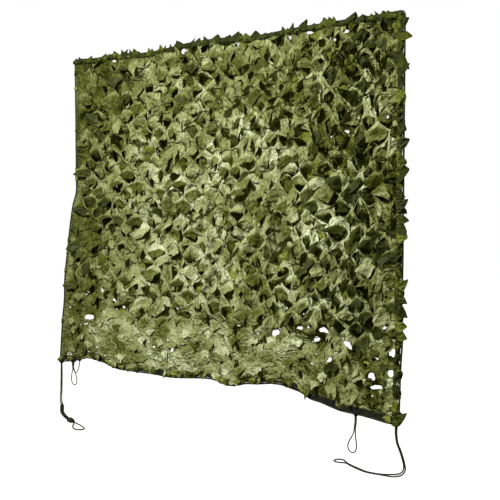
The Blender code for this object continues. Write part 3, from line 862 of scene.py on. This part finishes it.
def toFlat(layer, tables, co, columns, rows):
    # grid position to the cut cloth's own across and down, with each slit drawn round its leaf
    n = cut["facesAcross"]
    deep = cut["facesDown"]
    margin = cut["marginFaces"]
    height = cellSize()[1]
    column = (co[:, 0] + 0.5) * columns
    line = (0.5 - co[:, 1]) * rows
    row = np.clip(np.floor(line / deep + 1e-6), 0, cut["leavesDown"] - 1)
    inLine = line - row * deep
    shift = ((row + 2 * layer["stagger"]) % 2) / 2
    place = (column - margin) / n - shift
    cell = np.floor(place + 1e-6)
    c = (place - cell - 0.5) * n  # faces from the leaf's middle
    pick = (row.astype(int), np.clip(cell.astype(int) + 1, 0, cut["leavesAcross"] + 2))
    whole = (cell + shift >= -0.01) & (cell + shift + 1 <= cut["leavesAcross"] + 0.01)
    first, last = cut["tongueRows"]
    q = (inLine - first) / (last - first)
    odd = (row.astype(int) % 2) * 2 - 1
    drop = tables["drop"][pick]
    tip = np.interp(drop, (-cut["tipDrop"], cut["tipDrop"]), cut["tipWidth"][::-1])
    shoulder = cut["shoulderAt"] + tables["step"][pick] * np.sign(c)
    upper = cut["rootWidth"] + (cut["shoulderWidth"] - cut["rootWidth"]) * q / shoulder
    lower = tip + (cut["shoulderWidth"] - tip) * (1 - q) / (1 - shoulder)
    half = 0.5 * np.minimum(upper, lower)
    even = (cut["tongueColumns"][1] - cut["tongueColumns"][0]) / 2
    plain = even / n
    half = plain + (half - plain) * smoothStep((0.8 - np.abs(q - 0.5)) / 0.25)
    isWhole = np.where(whole, 1.0, 0.0)
    level = np.clip(q, 0, 1) - 0.5
    slant = np.where(odd > 0, cut["slant"][1], cut["slant"][0]) * level
    slant = slant * np.clip(1 - np.maximum(np.abs(q - 0.5) - 0.5, 0) * 4, 0, 1) * isWhole
    atRim = np.clip((n / 2 - np.abs(c)) / (n / 2 - even), 0, 1)
    slant = slant + tables["skew"][pick] * level * atRim * isWhole
    outer = half + (np.abs(c) - even) / (n / 2 - even) * (0.5 - half)
    s = np.where(np.abs(c) <= even, c / even * half, np.sign(c) * outer)
    s = np.where(whole, s, c / n)
    share = np.where(np.abs(c) <= even, 0.6 - np.abs(c) / even, -0.4 * atRim)
    fade = np.interp(q, (0.0, 1.0, (deep - first) / (last - first)), (0.0, 1.0, 0.0))
    point = np.where(whole, drop * share * fade, 0.0)
    across = halfWidth + fromCells(cell + shift + 0.5 + s + slant)
    across = np.where(column < margin, column / margin * cut["selvage"], across)
    fromRight = columns - column
    across = np.where(fromRight < margin, drape["width"] - fromRight / margin * cut["selvage"], across)
    down = (row + inLine / deep + point) * height
    inMargin = (column < margin) | (fromRight < margin)
    down = np.where(inMargin, line / deep * height, down)
    middle = fromCells(cell + shift + 0.5)
    return across - halfWidth, down, (*pick, middle)


gaps = {
    # the cloth inside this share of a gap's half width is missing, the rest is drawn back to the rim
    "inner": 0.55,
    "leastInner": 0.0037,
    "ragged": ((0.24, 3), (0.14, 2), (0.10, 7)),  # its rim's waves: size, how many
    "dotSize": (0.008, 0.015),
}
dotBands = (
    # small gaps: across from and to, down from and to, how many
    (-0.94, -0.58, 1.440, 1.466, 14),
    (-0.97, -0.10, 1.130, 1.440, 26),
    (0.15, 0.97, 1.160, 1.450, 20),
    (0.55, 0.97, 0.030, 0.900, 7),
    (-0.97, -0.60, 0.030, 0.300, 3),
)
# where the sky shows through: across, height, width, depth, and where it has them tilt in degrees and bow
gapPlaces = (
    (-0.786, -1.254, 0.064, 0.029), (0.386, -1.217, 0.044, 0.026, 35, 0.0),
    (0.541, -1.179, 0.042, 0.013, 0, 0.2), (0.645, -1.178, 0.048, 0.019, -10, 0.0),
    (0.600, -1.220, 0.040, 0.019, 15, 0.0), (0.745, -1.228, 0.040, 0.021, -30, 0.0),
    (0.910, -1.146, 0.036, 0.011, 0, 0.4), (0.955, -1.236, 0.024, 0.031), (0.870, -1.330, 0.031, 0.025),
    (0.890, -1.368, 0.050, 0.015, 10, 0.0), (0.960, -1.308, 0.044, 0.024), (0.985, -1.362, 0.030, 0.022),
    (0.970, -1.438, 0.044, 0.012, 0, 0.9), (0.680, -1.288, 0.042, 0.013, 40, 0.0),
    (0.195, -1.440, 0.030, 0.015), (-0.188, -0.032, 0.046, 0.022), (-0.679, -0.028, 0.031, 0.015),
    (0.441, -0.041, 0.027, 0.018), (0.551, -0.030, 0.031, 0.011), (0.149, -0.039, 0.029, 0.012, 0, 0.3),
    (0.730, -0.045, 0.029, 0.014), (0.978, -0.424, 0.024, 0.022), (0.972, -0.548, 0.020, 0.020),
    (0.196, -0.416, 0.019, 0.012, 20, 0.0), (0.213, -0.516, 0.020, 0.009, 20, 0.0),
    (-0.627, -1.159, 0.040, 0.012, -20, 0.3), (-0.704, -1.117, 0.040, 0.012, -15, 0.3),
    (0.501, -0.353, 0.014, 0.010), (0.807, -0.195, 0.014, 0.010), (0.919, -0.374, 0.015, 0.012),
)


def gapSpots():
    # each gap's middle on the hanging cloth, half sizes, tilt and bow
    dice = np.random.RandomState(29)
    spots = []
    for x, z, wide, deep, *lean in gapPlaces:
        tilt, bow = lean or (0, 0.0)
        column = int(round((x - hangAcross[0]) / drape["step"]))
        spots.append((x, np.interp(-z, -hangPoints[:, column, 2], hangDown), wide, deep, tilt, bow))
    for left, right, high, low, count in dotBands:
        for _ in range(count):
            size = dice.uniform(*gaps["dotSize"])
            long = dice.choice((1.0, 2.0), p=(0.7, 0.3))
            spots.append((dice.uniform(left, right), dice.uniform(high, low), size * long, size * 0.8,
                          dice.uniform(-50, 50), dice.choice((0.0, 0.8))))
    return [(onHang(hangPoints, np.array(x), np.array(down)), wide / 2, deep / 2, math.radians(tilt), bow,
             dice.uniform(0, 6)) for x, down, wide, deep, tilt, bow in spots]


def drawBack(places, spots):
    # the cloth drawn back from each gap's line of sight, and which places are inside a gap
    moved = places.copy()
    inside = np.zeros(len(places), bool)
    eye = np.array(view["place"])
    for middle, wide, deep, tilt, bow, phase in spots:
        inner = min(max(gaps["inner"], gaps["leastInner"] / math.sqrt(wide * deep)), 0.95)
        ray = (middle - eye) / (middle[1] - eye[1])
        away = places - middle - ray * (places[:, 1:2] - middle[1])
        near = np.nonzero(np.abs(away[:, 0]) + np.abs(away[:, 2]) < 5 * (wide + deep))[0]
        away = away[near]
        x = away[:, 0] * math.cos(tilt) + away[:, 2] * math.sin(tilt)
        z = away[:, 2] * math.cos(tilt) - away[:, 0] * math.sin(tilt) - bow * (x / wide) ** 2 * deep
        turn = np.arctan2(z, x)
        ragged = 1.0 + sum(size * np.sin(lobes * (turn + phase)) for size, lobes in gaps["ragged"])
        share = np.hypot(x / wide, z / deep) / ragged
        grown = np.maximum(share, inner)
        grown = grown + (1.0 - inner) * np.exp(-((grown - inner) / 0.65) ** 2)
        scale = np.where(share < 3.0, grown / np.maximum(share, 0.02) - 1.0, 0.0)
        moved[near, 0] += away[:, 0] * scale
        moved[near, 2] += away[:, 2] * scale
        inside[near] |= share < inner
    return moved, inside


gapsFound = gapSpots()


paintedLightAmounts = {
    # painted light and shade: how much lighter, or darker where below 0, the cloth is drawn; "all" moves the
    # whole cloth, the right, top and left are painted shade, the foot band and the rear layer's band painted
    # light, as of light coming through
    "all": -0.1, "right": -0.85, "top": -0.6, "left": -0.8, "band": 0.1, "rearBand": 1.3,
    "leaf": -0.45, "ribs": 0.3,  # where the leaves stand open: painted shade on the leaves, painted light on the cloth between them
}


def footBand(down):
    return smoothStep((down - 1.15) / 0.08)


def paintedLightAt(across, down):
    # painted shade: darker towards the right, the top and the left; painted light: lighter in the foot band
    right = smoothStep((across - 0.25) / 0.7)
    top = 1.0 - smoothStep(down / 0.7)
    left = smoothStep((-0.35 - across) / 0.5)
    return (paintedLightAmounts["all"] + paintedLightAmounts["right"] * right + paintedLightAmounts["top"] * top + paintedLightAmounts["left"] * left
            + paintedLightAmounts["band"] * footBand(down))


def sewLayer(name):
    layer = layers[name]
    tables = leafTables(layer)
    bm, tongueOf, columns, rows = cutSheet(layer, tables)
    bm.verts.ensure_lookup_table()
    flat = np.array([vert.co for vert in bm.verts])
    free = np.array([all(face[tongueOf] for face in vert.link_faces) for vert in bm.verts])
    across, down, leaf = toFlat(layer, tables, flat, columns, rows)
    places = placeRibs(layer, across, down)
    places[free] = placeLeaves(layer, tables, [part[free] for part in leaf], across[free], down[free])
    tone = tables["tone"][leaf[0], leaf[1]]
    parted = smoothStep(openness(across, down) * 2 - 0.6)
    # the cloth between the leaves: a painted highlight where they stand open, over its own random tone
    ribs = paintedLightAmounts["ribs"] * parted + 0.6 * softNoise(across, down, 0.09, layer["seed"] + 20)
    # the leaves: painted shade where they stand open, over each leaf's own random tone
    tone = np.where(free, tone + paintedLightAmounts["leaf"] * parted, ribs)
    # the tones spread wider towards the right, deepening the painted shade and highlights there, then the
    # painted light and shade by place is added
    tone = tone * (1.0 + 0.9 * smoothStep((across - 0.4) / 0.4)) + paintedLightAt(across, down)
    # the rear layer is lighter in the foot band: painted light
    if name == "rear_leaf_layer":
        tone = tone + paintedLightAmounts["rearBand"] * footBand(down)
    places[:, 1] = np.minimum(places[:, 1], cut["rearmost"])
    middles = np.array([places[[vert.index for vert in face.verts]].mean(axis=0) for face in bm.faces])
    missing = drawBack(middles, gapsFound)[1]
    places = drawBack(places, gapsFound)[0]
    toneOf = bm.verts.layers.float.new("leafTone")
    for vert, shade in zip(bm.verts, tone):
        vert[toneOf] = shade
    moveVerts(bm.verts, places)
    setUv(bm, "cloth", bm.faces, lambda vert: (across[vert.index], -down[vert.index]))
    bmesh.ops.delete(bm, geom=[face for face, gone in zip(bm.faces, missing) if gone], context="FACES")
    piece = newPiece(name, bm, leafPaint[name])
    piece.data.attributes.remove(piece.data.attributes["tongue"])
    piece.data.set_sharp_from_angle(angle=math.radians(cut["crease"]))
    return piece


def leafCloth(name, colours, glowShare):
    # polyester oxford, woven, coated and cut: matt, slightly mottled, and thin enough
    # to glow a little where light falls on its back
    material, tree = newMaterial(name)
    spot = addNode(tree, "TexCoord", {}, "Object")
    thread = addNode(tree, "TexCoord", {}, "UV")
    # leafTone: each leaf's random tone plus the painted shade and light laid on by place
    tone = addNode(tree, "Attribute", {}, "Fac", attribute_name="leafTone")
    share = addNode(tree, "Math", {0: tone, 1: 0.23, 2: 0.5}, operation="MULTIPLY_ADD")
    # blotches of 11 cm and a mottle of 9 mm
    blotch = addNode(tree, "TexNoise", {"Vector": spot, "Scale": 9.0, "Detail": 3.0, "Roughness": 0.6})
    share = addNode(tree, "Math", {0: blotch, 1: 0.7, 2: share}, operation="MULTIPLY_ADD")
    mottle = addNode(tree, "TexNoise", {"Vector": spot, "Scale": 110.0, "Detail": 5.0, "Roughness": 0.85})
    share = addNode(tree, "Math", {0: mottle, 1: 1.0, 2: share}, operation="MULTIPLY_ADD")
    share = addNode(tree, "Math", {0: share, 1: 0.85}, operation="SUBTRACT")
    colour = addNode(tree, "ValToRGB", {"Fac": share}, stops=zip((0.0, 0.26, 0.5, 0.8), colours))
    # crumples of 14 mm, and a weave of 2.5 mm: a real one is finer and wouldn't show
    crumple = addNode(tree, "TexVoronoi", {"Scale": 70.0, "Randomness": 1.0, "Vector": thread},
                      distance="MANHATTAN")
    weft = addNode(tree, "TexNoise", {"Vector": thread, "Scale": 400.0, "Detail": 1.0})
    weave = addNode(tree, "Bump", {"Strength": 0.5, "Distance": 0.0006, "Height": weft})
    relief = addNode(tree, "Bump", {"Strength": 1.0, "Distance": 0.0072, "Height": crumple, "Normal": weave})
    cloth = addNode(tree, "BsdfPrincipled", {
        "Roughness": 0.6, "Specular IOR Level": 0.2, "Base Color": colour, "Normal": relief})
    glow = addNode(tree, "BsdfTranslucent", {"Color": colour})
    mix = addNode(tree, "MixShader", {0: glowShare, 1: cloth, 2: glow})
    addNode(tree, "OutputMaterial", {"Surface": mix})
    return material


rope = {
    "diameter": 0.008,
    "reach": 0.0045,  # from the cloth's edge to the rope's middle
    "topCorner": 0.016,
    "footCorner": 0.008,
    "strands": 3,
    "pitch": 0.022,
    "depth": 0.2,
    "sides": 14,
    "rowLength": 0.0022,
    "colours": ("12150c", "2c301f"),
}


def onBorder(across, down):
    # a place on the hanging cloth's own sheet, also a little way outside its edge
    insideA = np.clip(across, hangAcross[0], hangAcross[-1])
    insideD = np.clip(down, 0, netDrop)
    spot = onHang(hangPoints, insideA, insideD)
    return (spot + onHang(hangSide, insideA, insideD) * (across - insideA)[..., None]
            + onHang(hangFall, insideA, insideD) * (down - insideD)[..., None])


def offBorder(across, down, out):
    return onBorder(across, down) + onHang(hangFront, across, down) * out[:, None]


def makeBorderRope():
    half = halfWidth + rope["reach"]
    top, foot = -rope["reach"], netDrop + rope["reach"]
    a, b = rope["topCorner"], rope["footCorner"]
    spots = [(x, top) for x in np.linspace(-half + a, half - a, 80)]
    spots += [(half - a * 0.3, top + a * 0.3)] + [(half, z) for z in np.linspace(top + a, foot - b, 60)]
    spots += [(half - b * 0.3, foot - b * 0.3)] + [(x, foot) for x in np.linspace(half - b, -half + b, 80)]
    spots += [(-half + b * 0.3, foot - b * 0.3)] + [(-half, z) for z in np.linspace(foot - b, top + a, 60)]
    spots += [(-half + a * 0.3, top + a * 0.3)]
    spots = np.array(spots)
    route = onBorder(spots[:, 0], spots[:, 1])
    points, length = smoothRoute(route, rope["rowLength"], closed=True)
    bm = bmesh.new()
    strands = twistedStrands(rope["depth"], rope["pitch"], rope["strands"])
    rollTube(bm, points, rope["diameter"] / 2, rope["sides"], strands, closed=True)
    piece = newPiece("laid_border_rope", bm, cordYarn("border_rope_yarn", *rope["colours"], 0.0005))
    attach(piece, "root")
    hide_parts("border_rope")
    print("border rope", round(length, 2), "m")
    return piece


edgeLeaves = {
    # edge: how many, how far their tips stand past the rope, how far inside they are rooted,
    # how wide they are, and how much darker than the rest: painted shade at the top and right, lighter below
    # 0
    "top": (130, 0.012, 0.018, 1.0, 0.8),
    "right": (64, 0.019, 0.024, 1.4, 1.2),
    "left": (10, 0.0, 0.016, 0.6, -1.0),
    "foot": (46, 0.003, 0.022, 1.0, -1.0),
}


tipWays = {
    "width": (0.024, 0.048), "rise": (0.004, 0.010), "tone": (-2.6, 1.6),
    "stray": 0.6,  # from its even place, in places
    "slant": 0.7, "turn": 0.7,
    "topPaintedShade": 1.6,  # painted shade: by how much the top's tips are darker at their right end
}


def makeEdgeLeaves(material):
    # cut tips that fold out over the border rope
    dice = np.random.RandomState(83)
    bm = bmesh.new()
    tones = []
    for edge, (count, past, inside, broad, dark) in edgeLeaves.items():
        level = edge in ("top", "foot")
        span = drape["width"] if level else netDrop
        for number in range(count):
            centre = (number + 0.5 + tipWays["stray"] * dice.uniform(-1, 1)) / count * span
            wide = dice.uniform(*tipWays["width"]) * broad
            reach = inside + rope["diameter"] + past * (2.2 * dice.uniform(0, 1) ** 2 - 0.3)
            lean = tipWays["slant"] * dice.uniform(-1, 1)
            turn = tipWays["turn"] * dice.uniform(-1, 1)
            rise = dice.uniform(*tipWays["rise"])
            # painted shade along the top, deeper towards its right end
            paintedShadeRight = tipWays["topPaintedShade"] * centre / span if edge == "top" else 0.0
            # each tip's own random tone, less the painted shade of its edge
            tone = dice.uniform(*tipWays["tone"]) - dark - paintedShadeRight
            if edge == "foot" and bareTape(centre - span / 2) > 0.3:
                continue
            made, flat = flatGrid(bm, 5, 7)
            q = flat[:, 1] + 0.5
            half = 0.5 * wide * np.minimum(0.55 + 0.9 * q, 1.9 * (1.06 - q))
            s = flat[:, 0] * 2 * half + lean * reach * q * q
            out = 0.006 + rise * np.sin(np.pi * np.minimum(q * 1.3, 1.0))
            out = out + 2 * flat[:, 0] * half * np.sin(turn) * q
            if edge == "top":
                a, d = centre - span / 2 + s, inside - reach * q
            elif edge == "foot":
                a, d = centre - span / 2 + s, netDrop - inside + reach * q
            elif edge == "right":
                a, d = halfWidth - inside + reach * q, centre + s
            else:
                a, d = -halfWidth + inside - reach * q, centre + s
            spots = offBorder(a, d, out)
            spots[:, 1] = np.minimum(spots[:, 1], cut["rearmost"])
            spots = drawBack(spots, gapsFound)[0]
            setUv(bm, "cloth", {face for vert in made for face in vert.link_faces},
                  lambda vert: (centre + vert.co.x * wide, vert.co.y * reach))
            moveVerts(made, spots)
            tones += [tone] * len(made)
    bmesh.ops.recalc_face_normals(bm, faces=bm.faces)
    piece = newPiece("edge_leaf_tips", bm, material)
    spot = piece.data.attributes.new("leafTone", "FLOAT", "POINT")
    spot.data.foreach_set("value", np.array(tones, np.float32))
    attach(piece, "root")
    print("edge leaves", len(piece.data.polygons), "faces")
    return piece


tape = {
    "width": 0.024,
    "standOff": 0.0035,
    "columns": 600,
    "rows": 8,
    "colours": ("050703", "161a0a"),
}


def tapeWeave():
    # woven polyester webbing, thin, dyed near black green, with a herringbone and dusty high spots
    material, tree = newMaterial("binding_webbing")
    # ribs 2.4 mm apart, coarser than real ones so that they show, and worn spots of 7 cm
    thread = addNode(tree, "TexCoord", {}, "UV")
    ribs = addNode(tree, "TexWave", {"Vector": thread, "Scale": 260.0, "Distortion": 1.2, "Detail": 1.0},
                   "Fac", bands_direction="DIAGONAL")
    worn = addNode(tree, "TexNoise", {
        "Vector": addNode(tree, "TexCoord", {}, "Object"), "Scale": 14.0, "Detail": 4.0, "Roughness": 0.65})
    colour = addNode(tree, "ValToRGB", {"Fac": worn}, stops=zip((0.38, 0.66), tape["colours"]))
    twill = addNode(tree, "Bump", {"Strength": 0.6, "Distance": 0.0005, "Height": ribs})
    webbing = addNode(tree, "BsdfPrincipled", {
        "Roughness": 0.75, "Specular IOR Level": 0.25, "Base Color": colour, "Normal": twill})
    addNode(tree, "OutputMaterial", {"Surface": webbing})
    return material


def makeTape():
    bm = bmesh.new()
    made, flat = flatGrid(bm, tape["columns"], tape["rows"])
    across = flat[:, 0] * drape["width"]
    rise = (flat[:, 1] + 0.5) * tape["width"]
    down = netDrop - rise
    pucker = 0.0018 * softNoise(across, rise, 0.016, 61) + 0.0025 * softNoise(across, rise * 0, 0.06, 62)
    stitched = np.abs(np.sin(np.pi * across / 0.009)) ** 0.4
    out = tape["standOff"] + pucker + 0.0006 * stitched * np.abs(flat[:, 1]) * 2
    spots = offBorder(across, down, out)
    setUv(bm, "weave", bm.faces, lambda vert: (vert.co.x * drape["width"], vert.co.y * tape["width"]))
    moveVerts(made, spots)
    piece = newPiece("foot_binding_tape", bm, tapeWeave())
    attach(piece, "root")
    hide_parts("bottom_binding")
    print("foot tape laid")
    return piece


leafPaint = {
    # front shades run from the deep olive of painted shade to a pale painted highlight, reached where
    # leafTone carries them; the rear set is darker throughout, partly the cloth's own olive and partly
    # painted shade of the space behind the front leaves
    "front_leaf_layer": leafCloth("front_leaf_oxford", ("2b310a", "4a5010", "878d5c", "cad0b0"), 0.12),
    "rear_leaf_layer": leafCloth("rear_leaf_oxford", ("252b04", "383e06", "535b16", "757c36"), 0.02),
}
makeBorderRope()
makeTape()
tips = makeEdgeLeaves(leafPaint["rear_leaf_layer"])
for name in layers:
    piece = sewLayer(name)
    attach(piece, "root")
    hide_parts("netting_cloth")
    print(name, len(piece.data.polygons), "faces")
